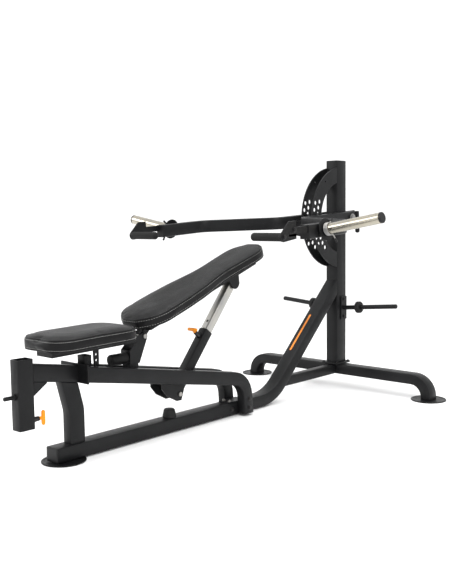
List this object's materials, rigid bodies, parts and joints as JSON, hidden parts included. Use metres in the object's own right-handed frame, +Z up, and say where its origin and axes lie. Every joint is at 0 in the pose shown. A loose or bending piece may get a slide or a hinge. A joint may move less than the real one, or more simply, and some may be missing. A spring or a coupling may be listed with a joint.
{
  "type": "lever press bench",
  "caption": "Plate-loaded lever press bench with an adjustable seat and back rest, a half-ring selector on the upright and a pair of bent press arms",
  "frame": {"origin": "centre of the footprint, on the floor", "axes": "X across the machine (+X its right side), +Y from the seat end to the upright, +Z up"},
  "size_m": [1.6372, 2.33, 1.2933],
  "materials": {
    "frame_coat": "satin powder coat",
    "upholstery": "soft synthetic leather",
    "plated_tube": "satin plated",
    "hardware": "zinc plated",
    "rubber": "matte",
    "end_caps": "matte moulded",
    "knobs": "moulded"
  },
  "bodies": {
    "frame": {"base_plate": "frame_coat", "bench_bolt": "hardware", "brace": "frame_coat", "center_beam": "frame_coat", "foot_disc_front": "frame_coat", "foot_disc_left": "frame_coat", "foot_disc_right": "frame_coat", "front_leg": "frame_coat", "front_rail": "frame_coat", "peg_collar_left": "rubber", "peg_collar_right": "rubber", "post_bolt": "hardware", "post_bracket_left": "frame_coat", "post_bracket_right": "frame_coat", "rail_bumper": "rubber", "rear_crossbeam": "frame_coat", "rear_rail": "frame_coat", "receiver_gusset": "frame_coat", "receiver_pin_body": "hardware", "receiver_post": "frame_coat", "seat_post": "frame_coat", "seat_stub": "rubber", "seat_support": "frame_coat", "selector_plate_left": "frame_coat", "selector_plate_right": "frame_coat", "side_beam_left": "frame_coat", "side_beam_right": "frame_coat", "storage_peg_left": "frame_coat", "storage_peg_right": "frame_coat", "upright": "frame_coat", "upright_cap": "end_caps"},
    "carriage": {"carriage": "frame_coat", "carriage_pin_body": "hardware", "pivot_shaft": "hardware"},
    "carriage_pin": {"carriage_pin": "end_caps"},
    "back_rest": {"back_pad": "upholstery", "back_frame": "frame_coat"},
    "seat": {"seat_pad": "upholstery", "seat_frame": "frame_coat", "seat_strap": "frame_coat"},
    "post_outer": {"post_tube": "frame_coat", "post_pin_body": "hardware"},
    "post_inner": {"inner_tube": "plated_tube", "clevis_bolt": "hardware"},
    "post_pin": {"post_pin": "knobs"},
    "receiver_pin": {"receiver_pin": "knobs"},
    "arm_left": {"arm_left": "frame_coat", "horn_left": "plated_tube", "horn_cap_left": "end_caps", "handle_bracket_left": "frame_coat", "handle_left": "rubber"},
    "collar_left": {"spring_collar_left": "plated_tube"},
    "arm_right": {"arm_right": "frame_coat", "horn_right": "plated_tube", "horn_cap_right": "end_caps", "handle_bracket_right": "frame_coat", "handle_right": "rubber"},
    "collar_right": {"spring_collar_right": "plated_tube"}
  },
  "joints": [
    {"name": "carriage_swing", "type": "hinge", "parent": "frame", "child": "carriage", "pos_m": [0, 1.04198, 0.973], "axis": [-1, 0, 0], "range_deg": [-21, 25]},
    {"name": "back_recline", "type": "hinge", "parent": "frame", "child": "back_rest", "pos_m": [0, -0.47302, 0.47], "axis": [1, 0, 0], "range_deg": [-19, 10]},
    {"name": "seat_tilt", "type": "hinge", "parent": "frame", "child": "seat", "pos_m": [0, -0.47302, 0.47], "axis": [-1, 0, 0], "range_deg": [0, 10]},
    {"name": "post_swing", "type": "hinge", "parent": "frame", "child": "post_outer", "pos_m": [0, -0.26602, 0.176], "axis": [1, 0, 0], "range_deg": [-17.22, 9.16]},
    {"name": "post_slide", "type": "slide", "parent": "post_outer", "child": "post_inner", "axis": [0, 0.6354, 0.7722], "range_m": [-0.1178, 0.0625]},
    {"name": "receiver_pin_pull", "type": "slide", "parent": "frame", "child": "receiver_pin", "axis": [0, 1, 0], "range_m": [0, 0.012], "stiffness_N_per_m": 400, "springref_m": -0.01},
    {"name": "post_pin_pull", "type": "slide", "parent": "post_outer", "child": "post_pin", "axis": [0, -0.7722, 0.6354], "range_m": [0, 0.012], "stiffness_N_per_m": 400, "springref_m": -0.01},
    {"name": "carriage_pin_pull", "type": "slide", "parent": "carriage", "child": "carriage_pin", "axis": [-1, 0, 0], "range_m": [0, 0.012], "stiffness_N_per_m": 400, "springref_m": -0.01},
    {"name": "arm_press_left", "type": "hinge", "parent": "carriage", "child": "arm_left", "pos_m": [-0.077, 1.04198, 0.973], "axis": [-1, 0, 0], "range_deg": [0, 60]},
    {"name": "collar_slide_left", "type": "slide", "parent": "arm_left", "child": "collar_left", "axis": [-0.9848, -0.0109, 0.1733], "range_m": [0, 0.25]},
    {"name": "arm_press_right", "type": "hinge", "parent": "carriage", "child": "arm_right", "pos_m": [0.077, 1.04198, 0.973], "axis": [-1, 0, 0], "range_deg": [0, 60]},
    {"name": "collar_slide_right", "type": "slide", "parent": "arm_right", "child": "collar_right", "axis": [0.9848, -0.0109, 0.1733], "range_m": [0, 0.25]}
  ],
  "couplings": [
    {"joint": "post_swing", "follows": "back_recline", "ratio": 0.8959},
    {"joint": "post_slide", "follows": "back_recline", "m_per_rad": 0.35235}
  ]
}
